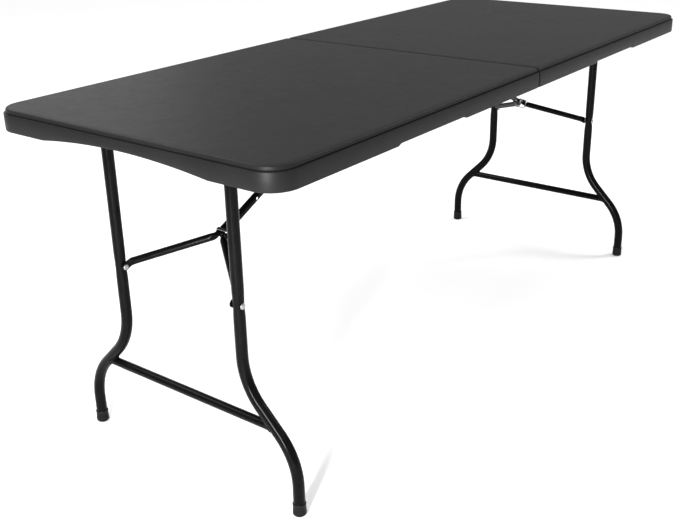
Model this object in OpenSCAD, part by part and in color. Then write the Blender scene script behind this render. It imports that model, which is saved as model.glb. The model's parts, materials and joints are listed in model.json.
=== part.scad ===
// Folding table with a two-part moulded top, two folding wishbone legs and locking braces.
// Origin: on the floor, under the middle of the top. X runs along the top, Y across it, Z up.
// The left half is at -X, the right half at +X; the front is at -Y and the back at +Y.

/* [Top] */
// Overall length of the open top, mm
top_length = 1800; // [1780:10:1820]
// Overall width of the top, mm
top_width = 740; // [720:10:760]
// Height of the top face above the floor, mm
top_height = 745; // [740:1:750]
// Height of the moulded edge from its lower rim to the top face, mm
edge_height = 45; // [45:1:46]
// Thickness of the skirt wall, mm
skirt_wall = 12; // [11:0.5:13]
// Thickness of the moulded deck, mm
deck = 12; // [11.5:0.25:12]
// Radius of the four outer corners seen from above, mm
corner_r = 55; // [45:1:65]
// Step from the skirt face in to the raised plateau, mm
plateau_inset = 4.5; // [3:0.5:6]
// Height of the raised plateau above its ledge, mm
plateau_height = 9.5; // [8:0.5:11]
// Gap between the two halves at the middle, mm
seam_gap = 1; // [0.6:0.1:2]
// Wall thickness of the moulding around its hollow, mm
mould_wall = 2.5; // [2:0.25:3]
// Depth of the hand recesses in the long rims, mm
rim_recess = 4; // [2:0.5:6]
// Rise of the arch in the end rims, mm
arch_rise = 14.5; // [8:0.5:15]
// Width of the arch in the end rims, mm
arch_w = 436; // [380:4:460]

/* [Rails and hinges] */
// Distance of the rail web from the centreline, mm
rail_y = 336; // [334:1:338]
// Thickness of the rail steel, mm
rail_t = 2; // [1.5:0.25:2.5]
// Height of the rail web, mm
rail_h = 29; // [26:1:30]
// Thickness of the hinge leaves, mm
leaf_t = 3; // [2.5:0.25:3]
// Diameter of the middle hinge pins, mm
hinge_pin_d = 8; // [6:0.5:10]

/* [Legs] */
// Distance of each leg from the middle of the table, mm
leg_x = 792; // [786:1:798]
// Diameter of the leg tube, mm
tube_d = 24; // [22:0.5:24]
// Wall thickness of the leg tube, mm
tube_wall = 1.5; // [1.2:0.1:2]
// Distance of the straight part of an upright from the centreline, mm
upright_y = 165; // [160:1:170]
// Distance of a foot from the centreline, mm
foot_y = 293; // [286:1:300]
// Height at which an upright starts to bend outward, mm
bend_start = 310; // [300:1:320]
// Centreline radius of the bends, mm
bend_r = 142; // [135:1:148]
// Height of the lower crossbar, mm
crossbar_z = 176; // [172:1:190]
// Diameter of the lower crossbar, mm
crossbar_d = 19; // [17:0.5:20]
// Diameter of the foot caps, mm
cap_d = 28; // [27:0.5:31]
// Height of the foot caps, mm
cap_h = 27; // [22:1:34]

/* [Brace] */
// Distance of the link pivot from the middle of the table, mm
link_x = 132; // [130:1:134]
// Distance of the arm rivets below the leg pivot, mm
rivet_drop = 295; // [294:0.5:296]
// Diameter of the brace arm tubes, mm
arm_d = 16; // [14:0.5:17]
// Diameter of the brace pins and rivets, mm
pin_d = 6; // [5:0.5:6]

/* [Hidden] */
$fn = 96;
run = 0.05;
half_l = top_length / 2;
half_w = top_width / 2;
rim_z = top_height - edge_height;
ceil_z = top_height - deck;
ledge_z = top_height - plateau_height;
pivot_z = rim_z + tube_d / 2 + 0.2;
tube_r = tube_d / 2;
cap_floor = 4;
butt_gap = 0.02;
stub_r = 8;
bracket_y = rail_y - 3;
web_top = ceil_z;
arch_r = (arch_w * arch_w / 4 + arch_rise * arch_rise) / (2 * arch_rise);
link_screw_y = 33;
latch_z = rim_z + 23;
latch_reach = 52;

// Brace geometry: the chain is straight when the leg is open and lies flat when it is folded.
link_z = ceil_z - 4;
rivet_z = pivot_z - rivet_drop;
span_x = leg_x - link_x;
span_z = link_z - rivet_z;
chain = sqrt(span_x * span_x + span_z * span_z);
slope = atan(span_z / span_x);
fold_x = span_x - rivet_drop;
fold_z = link_z - pivot_z;
link_len = (chain * chain - fold_x * fold_x - fold_z * fold_z) / (2 * (chain - fold_x));
arm_len = chain - link_len;
apex_x = link_x + link_len * cos(slope);
apex_z = link_z - link_len * sin(slope);
link_w = 16;
link_h = 10;
tab_t = 3;
tab_in = link_w / 2 + 0.5;
tab_out = upright_y - tube_r - 1 - tab_t;
ring_u = 31;

// Bend geometry of the uprights: two equal 45 degree arcs joined by a straight.
bend_a = 45;
arc_y = bend_r * (1 - cos(bend_a));
arc_z = bend_r * sin(bend_a);
slant = ((foot_y - upright_y) - 2 * arc_y) / sin(bend_a);
slant_top_y = upright_y + arc_y;
slant_top_z = bend_start - arc_z;
slant_low_z = slant_top_z - slant * cos(bend_a);
foot_top_z = slant_low_z - arc_z;

// ---------- shared shapes, drawn for the right half or the front side ----------

// Outline of one half, from x0 to x1, with its two outer corners rounded.
module half_outline(x0, x1, hw, r) {
    translate([x0, -hw])
        square([x1 - r - x0, 2 * hw]);
    translate([x0, -hw + r])
        square([x1 - x0, 2 * (hw - r)]);
    for (s = [-1, 1])
        translate([x1 - r, s * (hw - r)])
            circle(r = r);
}

// A slab of that outline, inset by d from the skirt face, between two heights.
module half_slab(x0, d, z0, z1) {
    translate([0, 0, z0])
        linear_extrude(height = z1 - z0)
            half_outline(x0, half_l - d, half_w - d, corner_r - d);
}

// Cylinder along Y between two values of y.
module y_rod(x, z, y0, y1, r) {
    translate([x, y0, z])
        rotate([-90, 0, 0])
            cylinder(h = y1 - y0, r = r);
}

// Mirrors the children from the front to the back, keeping both.
module both_sides() {
    children();
    mirror([0, 1, 0])
        children();
}

// Places the children in the frame of the brace: x runs from the given pin down the brace.
module on_brace(px, pz) {
    translate([px, 0, pz])
        rotate([0, slope, 0])
            children();
}

function screw_x(i) = 70 + i * 150;

// Space kept free for the brace, between the deck's lower face and its upper skin.
module brace_groove(extra) {
    translate([link_x - 34 - extra, -22 - extra, rim_z + 10])
        cube([640 + 2 * extra, 44 + 2 * extra, top_height - 5.5 - rim_z - 10 + extra]);
}

// Round bar through the end skirt that cuts its arch, or a thicker one to keep the hollow off it.
module end_arch(extra) {
    translate([half_l - skirt_wall - 1, 0, rim_z + arch_rise - arch_r])
        rotate([0, 90, 0])
            cylinder(h = skirt_wall + 2, r = arch_r + extra, $fn = 360);
}

// Hollow of the moulding: a channel in the skirt and a flat space in the deck.
module panel_hollow() {
    w = mould_wall;
    difference() {
        union() {
            difference() {
                half_slab(seam_gap / 2 + 16, w, rim_z + rim_recess + w, ceil_z + 0.5);
                half_slab(seam_gap / 2 - 1, skirt_wall - w, rim_z - 1, ceil_z + 1);
            }
            half_slab(seam_gap / 2 + 16, plateau_inset + w, ceil_z + w, top_height - w);
        }
        brace_groove(w);
        end_arch(w);
        both_sides() {
            for (i = [0 : 5])
                translate([screw_x(i), -rail_y - 12, ceil_z - 1])
                    cylinder(h = deck, r = 5);
            translate([link_x, -link_screw_y, ceil_z - 1])
                cylinder(h = deck, r = 5);
        }
    }
}

// Solid of the right panel before the parts that differ from the left one.
module panel_body() {
    difference() {
        union() {
            half_slab(seam_gap / 2, 0, rim_z, ledge_z);
            half_slab(seam_gap / 2, plateau_inset, ledge_z - 0.5, top_height);
        }
        half_slab(seam_gap / 2 + 13, skirt_wall, rim_z - 1, ceil_z);
        brace_groove(0);
        // notches for the middle hinges
        both_sides()
            translate([-1, -rail_y - 12, rim_z - 1])
                cube([16, 24, rail_h + 5]);
        // hand recesses in the long rims
        both_sides()
            translate([321, -half_w - 1, rim_z - 1])
                cube([236, skirt_wall + 2, rim_recess + 1]);
        // low arch in the end rim
        end_arch(0);
        // pilot holes for the rail screws
        both_sides()
            for (i = [0 : 5])
                translate([screw_x(i), -rail_y - 12, ceil_z - 1])
                    cylinder(h = 8, r = 2);
        // pilot holes for the link bracket screws
        both_sides()
            translate([link_x, -link_screw_y, ceil_z - 1])
                cylinder(h = 8, r = 2);
    }
}

// Front rail of the right half: an angle with its flange screwed under the deck.
module rail() {
    difference() {
        union() {
            translate([14, -rail_y - rail_t, web_top - rail_h])
                cube([leg_x + 40 - 14, rail_t, rail_h]);
            translate([20, -rail_y - 20, web_top - rail_t])
                cube([leg_x + 34 - 20, 20, rail_t]);
        }
        for (i = [0 : 5])
            translate([screw_x(i), -rail_y - 12, web_top - rail_t - 1])
                cylinder(h = rail_t + 2, r = 2);
        y_rod(leg_x, pivot_z, -rail_y - rail_t - 1, -rail_y + 1, stub_r + 1);
        for (s = [-1, 1])
            y_rod(leg_x + s * 20, rim_z + 18, -rail_y - rail_t - 1, -rail_y + 1, 2.5);
        for (x = [34, 78])
            y_rod(x, rim_z + 18, -rail_y - rail_t - 1, -rail_y + 1, 2.5);
    }
}

// Bearing plate of the leg pivot, riveted to the inner face of the rail.
module pivot_bracket() {
    difference() {
        union() {
            translate([leg_x - 30, -rail_y, rim_z + 4])
                cube([60, 3, 26]);
            y_rod(leg_x, pivot_z, -rail_y, -rail_y + 3, 12);
        }
        y_rod(leg_x, pivot_z, -rail_y - 1, -rail_y + 4, stub_r + run);
        for (s = [-1, 1])
            y_rod(leg_x + s * 20, rim_z + 18, -rail_y - 1, -rail_y + 4, 2.5);
    }
    for (s = [-1, 1])
        rivet(leg_x + s * 20, rim_z + 18, -rail_y - rail_t, -rail_y + 3);
}

// Flat-headed rivet along Y, with its heads outside y0 and y1.
module rivet(x, z, y0, y1) {
    y_rod(x, z, y0, y1, 2.5);
    y_rod(x, z, y0 - 1.6, y0, 4.5);
    y_rod(x, z, y1, y1 + 1.6, 4.5);
}

// Side view of a hinge leaf: plate, sloping arm and eye, with x along the rail and y up.
module leaf_profile(hole_r) {
    difference() {
        union() {
            translate([16, 8])
                square([76, 20]);
            polygon([[-4, 7], [8.5, -1], [22, 8], [22, 26], [16, 26]]);
            circle(r = 9);
        }
        circle(r = hole_r);
        for (x = [34, 78])
            translate([x, 18])
                circle(r = 2.5);
    }
}

// Hinge leaf, with its bearing eye on the axis of the middle hinge.
module hinge_leaf(y0, y1, hole_r) {
    translate([0, y1, rim_z])
        rotate([90, 0, 0])
            linear_extrude(height = y1 - y0)
                leaf_profile(hole_r);
}

// Bracket that carries the upper end of the brace link.
module link_bracket() {
    difference() {
        union() {
            for (s = [-1, 1])
                translate([link_x - 10, s * 14.5 - 1.5, ceil_z - 12])
                    cube([20, 3, 12]);
            for (s = [-1, 1])
                translate([link_x - 28, s * 27.5 - 14.5, ceil_z - 2])
                    cube([44, 29, 2]);
            translate([link_x - 28, -14, ceil_z - 2])
                cube([17, 28, 2]);
        }
        y_rod(link_x, link_z, -20, 20, pin_d / 2);
        both_sides()
            translate([link_x, -link_screw_y, ceil_z - 3])
                cylinder(h = 4, r = 2);
    }
}

// Pan screw pointing up, its head bearing at height z.
module pan_screw(x, y, z) {
    translate([x, y, z])
        cylinder(h = 8, r = 2);
    translate([x, y, z - 1.8])
        cylinder(h = 1.8, r1 = 3.2, r2 = 4);
}

// ---------- leg parts, right leg ----------

// Bent stretch of tube about a bend centre.
module tube_bend() {
    rotate_extrude(angle = bend_a)
        translate([bend_r, 0])
            difference() {
                circle(r = tube_r);
                circle(r = tube_r - tube_wall);
            }
}

// Straight stretch of tube upwards.
module tube_run(h) {
    linear_extrude(height = h)
        difference() {
            circle(r = tube_r);
            circle(r = tube_r - tube_wall);
        }
}

// Back upright: straight, bend, slanted stretch, bend and foot, one behind the other.
module upright() {
    difference() {
        translate([leg_x, upright_y, bend_start])
            tube_run(pivot_z - bend_start);
        y_rod(leg_x, pivot_z, 0, upright_y + 60, tube_r + 0.15);
        y_rod(leg_x, rivet_z, upright_y - 30, upright_y + 30, pin_d / 2);
    }
    translate([leg_x, upright_y + bend_r, bend_start])
        rotate([0, 90, 0])
            rotate([0, 0, -90])
                tube_bend();
    translate([leg_x, slant_top_y, slant_top_z])
        rotate([bend_a - 180, 0, 0])
            translate([0, 0, butt_gap])
                tube_run(slant - 2 * butt_gap);
    translate([leg_x, foot_y - bend_r, foot_top_z])
        rotate([0, 90, 0])
            rotate([0, 0, 90])
                tube_bend();
    translate([leg_x, foot_y, cap_floor])
        tube_run(foot_top_z - cap_floor);
}

module top_tube() {
    w = tube_wall;
    difference() {
        union() {
            y_rod(leg_x, pivot_z, -rail_y + 14, rail_y - 14, tube_r);
            both_sides()
                translate([leg_x, -rail_y + 14, pivot_z])
                    rotate([90, 0, 0])
                        cylinder(h = 5, r1 = tube_r, r2 = stub_r);
            y_rod(leg_x, pivot_z, -rail_y - 6, rail_y + 6, stub_r);
        }
        y_rod(leg_x, pivot_z, -rail_y - 7, rail_y + 7, stub_r - w);
    }
}

module crossbar() {
    difference() {
        y_rod(leg_x, crossbar_z, -foot_y + 20, foot_y - 20, crossbar_d / 2);
        y_rod(leg_x, crossbar_z, -foot_y, foot_y, crossbar_d / 2 - tube_wall);
        both_sides()
            translate([leg_x, slant_top_y, slant_top_z])
                rotate([bend_a - 180, 0, 0])
                    translate([0, 0, -60])
                        cylinder(h = slant + 120, r = tube_r);
        both_sides()
            translate([leg_x - 20, slant_top_y + slant_top_z - crossbar_z, crossbar_z - 20])
                cube([40, 60, 40]);
    }
}

module foot_cap() {
    difference() {
        union() {
            translate([leg_x, foot_y, 2])
                cylinder(h = cap_h - 2, r = cap_d / 2);
            translate([leg_x, foot_y, 0])
                cylinder(h = 2, r1 = cap_d / 2 - 2, r2 = cap_d / 2);
        }
        translate([leg_x, foot_y, cap_floor])
            cylinder(h = cap_h, r = tube_r + 0.02);
    }
}

// Shank and outer head of the arm rivets; the inner heads belong to the arms.
module leg_rivets() {
    both_sides() {
        y_rod(leg_x, rivet_z, upright_y - tube_r, upright_y + tube_r, pin_d / 2);
        y_rod(leg_x, rivet_z, upright_y + tube_r, upright_y + tube_r + 2.4, 6.5);
    }
}

// ---------- brace parts, right brace ----------

// Channel link with its open side down and its tail running past the apex pin.
module link() {
    on_brace(link_x, link_z)
        difference() {
            union() {
                translate([-7, -link_w / 2, -link_h / 2])
                    cube([link_len + 47, link_w, link_h]);
            }
            translate([-8, -link_w / 2 + 1.5, -link_h / 2 - 1])
                cube([link_len + 49, link_w - 3, link_h - 0.5]);
            y_rod(0, 0, -link_w, link_w, pin_d / 2 + run);
            y_rod(link_len, 0, -link_w, link_w, pin_d / 2 + run);
            translate([110, 0, 0])
                cylinder(h = link_h, r = 3);
        }
}

// Back arm: a tube with a flattened tab at each end.
module arm() {
    run_u = arm_len - 25 - 44;
    run_v = tab_out - tab_in;
    tube_l = sqrt(run_u * run_u + run_v * run_v);
    on_brace(apex_x, apex_z) {
        difference() {
            union() {
                translate([0, tab_in, -7])
                    cube([46, tab_t, 14]);
                y_rod(0, 0, tab_in, tab_in + tab_t, 7);
                translate([arm_len - 27, tab_out, -8.8])
                    cube([27, tab_t, 17.6]);
                y_rod(arm_len, 0, tab_out, tab_out + tab_t, 8.8);
                // tube, with its ends pressed back to the thickness of the tabs
                difference() {
                    translate([44, tab_in + tab_t / 2, 0])
                        rotate([0, 0, atan2(run_v, run_u)])
                            rotate([0, 90, 0])
                                cylinder(h = tube_l, r = arm_d / 2);
                    translate([20, tab_in - 19.6, -10])
                        cube([60, 20, 20]);
                    translate([arm_len - 60, tab_out + tab_t - 0.4, -10])
                        cube([60, 20, 20]);
                }
            }
            y_rod(0, 0, tab_in - 1, tab_in + tab_t + 1, pin_d / 2);
            translate([44, tab_in + tab_t / 2, 0])
                rotate([0, 0, atan2(run_v, run_u)])
                    rotate([0, 90, 0])
                        translate([0, 0, 10])
                            cylinder(h = tube_l - 20, r = arm_d / 2 - 1.2);
        }
        // inner head of the leg rivet, upset over the tab
        y_rod(arm_len, 0, tab_out - 2.4, tab_out, 6.5);
    }
}

module apex_rivet() {
    on_brace(apex_x, apex_z) {
        y_rod(0, 0, -tab_in - tab_t, tab_in + tab_t, pin_d / 2);
        both_sides()
            y_rod(0, 0, -tab_in - tab_t - 1.4, -tab_in - tab_t, 5.5);
    }
}

// Slotted ring that drops over the joint and keeps the brace straight.
module lock_ring() {
    on_brace(apex_x, apex_z)
        translate([ring_u - 4, 0, 0])
            difference() {
                translate([0, -16.5, -15.5])
                    cube([8, 33, 25.5]);
                translate([-1, -13, -12.8])
                    cube([10, 26, 20.1]);
            }
}

// ---------- sub-parts ----------

module panel_right() {
    color([0.12, 0.12, 0.12])
        difference() {
            panel_body();
            panel_hollow();
        }
}

module panel_left() {
    color([0.12, 0.12, 0.12])
        mirror([1, 0, 0])
            difference() {
                panel_body();
                difference() {
                    panel_hollow();
                    translate([365, half_w - skirt_wall - 1, rim_z])
                        cube([148, skirt_wall + 2, edge_height]);
                }
                // pocket for the handle
                translate([379, half_w - 9, rim_z + 8])
                    cube([120, 10, 24]);
                // eyes for the handle pins
                translate([372, half_w - 4.5, rim_z + 27])
                    rotate([0, 90, 0])
                        cylinder(h = 134, r = 2);
            }
}

module rail_front_right() {
    color([0.16, 0.16, 0.17])
        rail();
}

module rail_back_right() {
    color([0.16, 0.16, 0.17])
        mirror([0, 1, 0])
            rail();
}

module rail_front_left() {
    color([0.16, 0.16, 0.17])
        mirror([1, 0, 0])
            rail();
}

module rail_back_left() {
    color([0.16, 0.16, 0.17])
        mirror([1, 0, 0])
            mirror([0, 1, 0])
                rail();
}

module pivot_brackets_right() {
    color([0.2, 0.2, 0.21])
        both_sides()
            pivot_bracket();
}

module pivot_brackets_left() {
    mirror([1, 0, 0])
        pivot_brackets_right();
}

// The right leaves lie outside the rail webs and turn on the pins.
module hinge_leaves_right() {
    color([0.2, 0.2, 0.21])
        both_sides() {
            hinge_leaf(-rail_y - rail_t - leaf_t, -rail_y - rail_t, hinge_pin_d / 2 + run);
            for (x = [34, 78])
                rivet(x, rim_z + 18, -rail_y - rail_t - leaf_t, -rail_y);
        }
}

// The left leaves lie inside the rail webs and hold the pins.
module hinge_leaves_left() {
    color([0.2, 0.2, 0.21])
        mirror([1, 0, 0])
            both_sides() {
                hinge_leaf(-rail_y, -rail_y + leaf_t, hinge_pin_d / 2);
                for (x = [34, 78])
                    rivet(x, rim_z + 18, -rail_y - rail_t, -rail_y + leaf_t);
            }
}

module hinge_pins() {
    r = hinge_pin_d / 2;
    y_in = -rail_y + leaf_t;
    y_out = -rail_y - rail_t - leaf_t;
    color([0.62, 0.62, 0.63])
        both_sides() {
            y_rod(0, rim_z, y_out - 0.5, y_in, r);
            y_rod(0, rim_z, y_in, y_in + 2, r + 2.5);
            y_rod(0, rim_z, y_out - 2.5, y_out - 0.5, r + 2.5);
        }
}

module link_bracket_right() {
    color([0.2, 0.2, 0.21])
        union() {
            link_bracket();
            y_rod(link_x, link_z, -16, 16, pin_d / 2);
            y_rod(link_x, link_z, 16, 18, 5);
            y_rod(link_x, link_z, -18, -16, 5);
        }
}

module link_bracket_left() {
    mirror([1, 0, 0])
        link_bracket_right();
}

module rail_screws_right() {
    color([0.62, 0.62, 0.63]) {
        both_sides() {
            for (i = [0 : 5])
                pan_screw(screw_x(i), -rail_y - 12, ceil_z - rail_t);
            pan_screw(link_x, -link_screw_y, ceil_z - 2);
        }
    }
}

module rail_screws_left() {
    mirror([1, 0, 0])
        rail_screws_right();
}

module top_tube_right() {
    color([0.08, 0.08, 0.09])
        top_tube();
}

module top_tube_left() {
    mirror([1, 0, 0])
        top_tube_right();
}

module upright_back_right() {
    color([0.08, 0.08, 0.09])
        upright();
}

module upright_front_right() {
    mirror([0, 1, 0])
        upright_back_right();
}

module upright_back_left() {
    mirror([1, 0, 0])
        upright_back_right();
}

module upright_front_left() {
    mirror([1, 0, 0])
        upright_front_right();
}

module crossbar_right() {
    color([0.08, 0.08, 0.09])
        crossbar();
}

module crossbar_left() {
    mirror([1, 0, 0])
        crossbar_right();
}

module foot_back_right() {
    color([0.06, 0.06, 0.06])
        foot_cap();
}

module foot_front_right() {
    mirror([0, 1, 0])
        foot_back_right();
}

module foot_back_left() {
    mirror([1, 0, 0])
        foot_back_right();
}

module foot_front_left() {
    mirror([1, 0, 0])
        foot_front_right();
}

module leg_rivets_right() {
    color([0.62, 0.62, 0.63])
        leg_rivets();
}

module leg_rivets_left() {
    mirror([1, 0, 0])
        leg_rivets_right();
}

module link_right() {
    color([0.08, 0.08, 0.09])
        link();
}

module link_left() {
    mirror([1, 0, 0])
        link_right();
}

module arm_back_right() {
    color([0.08, 0.08, 0.09])
        arm();
}

module arm_front_right() {
    mirror([0, 1, 0])
        arm_back_right();
}

module arm_back_left() {
    mirror([1, 0, 0])
        arm_back_right();
}

module arm_front_left() {
    mirror([1, 0, 0])
        arm_front_right();
}

module apex_rivet_right() {
    color([0.62, 0.62, 0.63])
        apex_rivet();
}

module apex_rivet_left() {
    mirror([1, 0, 0])
        apex_rivet_right();
}

module lock_ring_right() {
    color([0.7, 0.7, 0.71])
        lock_ring();
}

module lock_ring_left() {
    mirror([1, 0, 0])
        lock_ring_right();
}

// Carrying handle in the back skirt of the left half, hanging flush in its pocket.
module handle() {
    y0 = half_w - 7.5;
    color([0.07, 0.07, 0.07])
        difference() {
            union() {
                translate([-496, y0, rim_z + 10])
                    cube([114, 6.5, 8]);
                for (x = [-496, -390])
                    translate([x, y0, rim_z + 10])
                        cube([8, 6.5, 17]);
                for (x = [-496, -390])
                    translate([x, half_w - 4.5, rim_z + 27])
                        rotate([0, 90, 0])
                            cylinder(h = 8, r = 3);
            }
            translate([-500, half_w - 4.5, rim_z + 27])
                rotate([0, 90, 0])
                    cylinder(h = 130, r = 2 + run);
        }
}

module handle_pins() {
    color([0.62, 0.62, 0.63])
        for (x = [-506, -388])
            translate([x, half_w - 4.5, rim_z + 27])
                rotate([0, 90, 0])
                    cylinder(h = 16, r = 2);
}

// Swivel latch behind the left end skirt, turned up out of use.
module latch() {
    color([0.2, 0.2, 0.21])
        translate([-half_l + skirt_wall + 0.4, 0, latch_z])
            difference() {
                union() {
                    translate([0, 0, -6])
                        cube([2, latch_reach, 12]);
                    rotate([0, 90, 0])
                        cylinder(h = 2, r = 6);
                    translate([0, latch_reach - 8, -6])
                        cube([6, 8, 12]);
                }
                translate([-1, 0, 0])
                    rotate([0, 90, 0])
                        cylinder(h = 4, r = 2.5 + run);
            }
}

module latch_pin() {
    color([0.62, 0.62, 0.63])
        translate([-half_l + skirt_wall, 0, latch_z])
            rotate([0, 90, 0]) {
                cylinder(h = 2.8, r = 2.5);
                translate([0, 0, 2.8])
                    cylinder(h = 1.6, r = 4.5);
            }
}

// Lipped plate that the latch hooks when the halves are folded together.
module latch_keeper() {
    color([0.2, 0.2, 0.21])
        translate([half_l - skirt_wall - 2, -14, rim_z + arch_rise + 1.5])
            union() {
                cube([2, 28, 15]);
                translate([-5, 4, 0])
                    cube([5.5, 20, 3]);
            }
}

panel_right();
panel_left();
rail_front_right();
rail_back_right();
rail_front_left();
rail_back_left();
pivot_brackets_right();
pivot_brackets_left();
hinge_leaves_right();
hinge_leaves_left();
hinge_pins();
link_bracket_right();
link_bracket_left();
rail_screws_right();
rail_screws_left();
top_tube_right();
top_tube_left();
upright_front_right();
upright_back_right();
upright_front_left();
upright_back_left();
crossbar_right();
crossbar_left();
foot_front_right();
foot_back_right();
foot_front_left();
foot_back_left();
leg_rivets_right();
leg_rivets_left();
link_right();
link_left();
arm_front_right();
arm_back_right();
arm_front_left();
arm_back_left();
apex_rivet_right();
apex_rivet_left();
lock_ring_right();
lock_ring_left();
handle();
handle_pins();
latch();
latch_pin();
latch_keeper();
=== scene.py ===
import json
from math import atan2, cos, exp, hypot, pi, radians, sin, sqrt

import bmesh
import bpy
from mathutils import Matrix, Vector


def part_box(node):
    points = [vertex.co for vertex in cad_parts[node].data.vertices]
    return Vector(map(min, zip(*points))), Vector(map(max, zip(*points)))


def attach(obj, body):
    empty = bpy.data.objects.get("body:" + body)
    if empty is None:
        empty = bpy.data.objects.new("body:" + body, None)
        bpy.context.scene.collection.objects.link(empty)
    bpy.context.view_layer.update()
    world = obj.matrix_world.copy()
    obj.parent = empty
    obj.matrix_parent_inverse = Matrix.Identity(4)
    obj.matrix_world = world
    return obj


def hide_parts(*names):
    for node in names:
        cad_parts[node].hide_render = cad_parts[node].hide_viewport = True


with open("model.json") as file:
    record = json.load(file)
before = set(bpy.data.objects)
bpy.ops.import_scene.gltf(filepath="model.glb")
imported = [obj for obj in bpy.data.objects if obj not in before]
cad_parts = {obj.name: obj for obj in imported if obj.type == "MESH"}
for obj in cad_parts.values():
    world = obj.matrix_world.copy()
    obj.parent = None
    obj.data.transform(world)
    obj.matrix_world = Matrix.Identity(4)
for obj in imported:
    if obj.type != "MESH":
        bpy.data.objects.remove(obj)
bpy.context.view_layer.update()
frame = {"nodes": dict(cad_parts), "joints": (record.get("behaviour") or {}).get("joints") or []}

nodes = frame["nodes"]
scene = bpy.context.scene

# ---------------------------------------------------------------------------------------------
# Moulded top, two halves. Each is a hollow blow moulding of black high-density polyethylene: a
# flat plateau with a soft edge, a narrow ledge round it, a deep skirt, and an underside pulled up
# to the deck by rows of small cones where the two walls of the moulding are pinched together.
# ---------------------------------------------------------------------------------------------
half_lo, half_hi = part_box("panel_right")
seam_x, end_x = half_lo.x, half_hi.x
half_width = half_hi.y
rim_z, top_z = half_lo.z, half_hi.z
ledge_z = top_z - 0.0095
deck_z = top_z - 0.012
corner_radius = 0.055
end_wall = 0.012
seam_wall = 0.013

# Profile from the plateau, over the edge and skirt, round the rim and up to the deck:
# (inset on the outer sides, height there, inset at the seam, height there).
top_profile = [
    (0.0180, top_z, 0.0180, top_z),
    (0.0092, top_z, 0.0078, top_z),
    (0.0076, top_z - 0.0003, 0.0052, top_z - 0.0003),
    (0.0062, top_z - 0.0010, 0.0030, top_z - 0.0010),
    (0.0053, top_z - 0.0021, 0.0013, top_z - 0.0022),
    (0.0049, top_z - 0.0034, 0.0004, top_z - 0.0038),
    (0.0046, top_z - 0.0075, 0.0000, top_z - 0.0062),
    (0.0049, top_z - 0.0086, 0.0000, top_z - 0.0074),
    (0.0053, ledge_z - 0.0008, 0.0000, ledge_z + 0.0008),
    (0.0049, ledge_z - 0.0010, 0.0000, ledge_z + 0.0002),
    (0.0042, ledge_z - 0.0002, 0.0000, ledge_z - 0.0004),
    (0.0018, ledge_z - 0.0001, 0.0000, ledge_z - 0.0012),
    (0.0006, ledge_z - 0.0006, 0.0000, ledge_z - 0.0022),
    (0.0001, ledge_z - 0.0018, 0.0000, ledge_z - 0.0032),
    (0.0000, ledge_z - 0.0160, 0.0000, ledge_z - 0.0160),
    (0.0001, rim_z + 0.0022, 0.0001, rim_z + 0.0022),
    (0.0007, rim_z + 0.0007, 0.0007, rim_z + 0.0007),
    (0.0022, rim_z, 0.0022, rim_z),
    (end_wall - 0.0022, rim_z, seam_wall - 0.0022, rim_z),
    (end_wall - 0.0007, rim_z + 0.0007, seam_wall - 0.0007, rim_z + 0.0007),
    (end_wall, rim_z + 0.0024, seam_wall, rim_z + 0.0024),
    (end_wall + 0.0008, deck_z - 0.0030, seam_wall + 0.0008, deck_z - 0.0030),
    (end_wall + 0.0018, deck_z - 0.0008, seam_wall + 0.0018, deck_z - 0.0008),
    (end_wall + 0.0040, deck_z, seam_wall + 0.0040, deck_z),
    (end_wall + 0.0120, deck_z, seam_wall + 0.0120, deck_z),
]
# Rows of the profile that make up the lower rim.
rim_rows = range(15, 21)
# The rim is raised in a hand recess on each long side and in an arch at the end.
recess_start, recess_end, recess_ramp, recess_rise = 0.316, 0.562, 0.010, 0.004
arch_rise, arch_half = 0.0145, 0.218
# Upright corner where the skirt turns into the seam.
seam_radius = 0.0042


def even_steps(a, b, step):
    """Evenly spaced values from a to b, both included, about step apart."""
    n = max(1, round(abs(b - a) / step))
    return [a + (b - a) * i / n for i in range(n + 1)]


def smooth(t):
    """0 below 0, 1 above 1, easing between."""
    t = min(1.0, max(0.0, t))
    return t * t * (3 - 2 * t)


def rim_lift(x, y):
    """How far the lower rim is raised at a point of the right half."""
    skirt_band = 0.02
    if abs(y) > half_width - skirt_band:
        rise_in = smooth((x - recess_start) / recess_ramp)
        return recess_rise * rise_in * smooth((recess_end - x) / recess_ramp)
    if x > end_x - skirt_band:
        return arch_rise * max(0, 1 - (y / arch_half) ** 2)
    return 0


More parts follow.
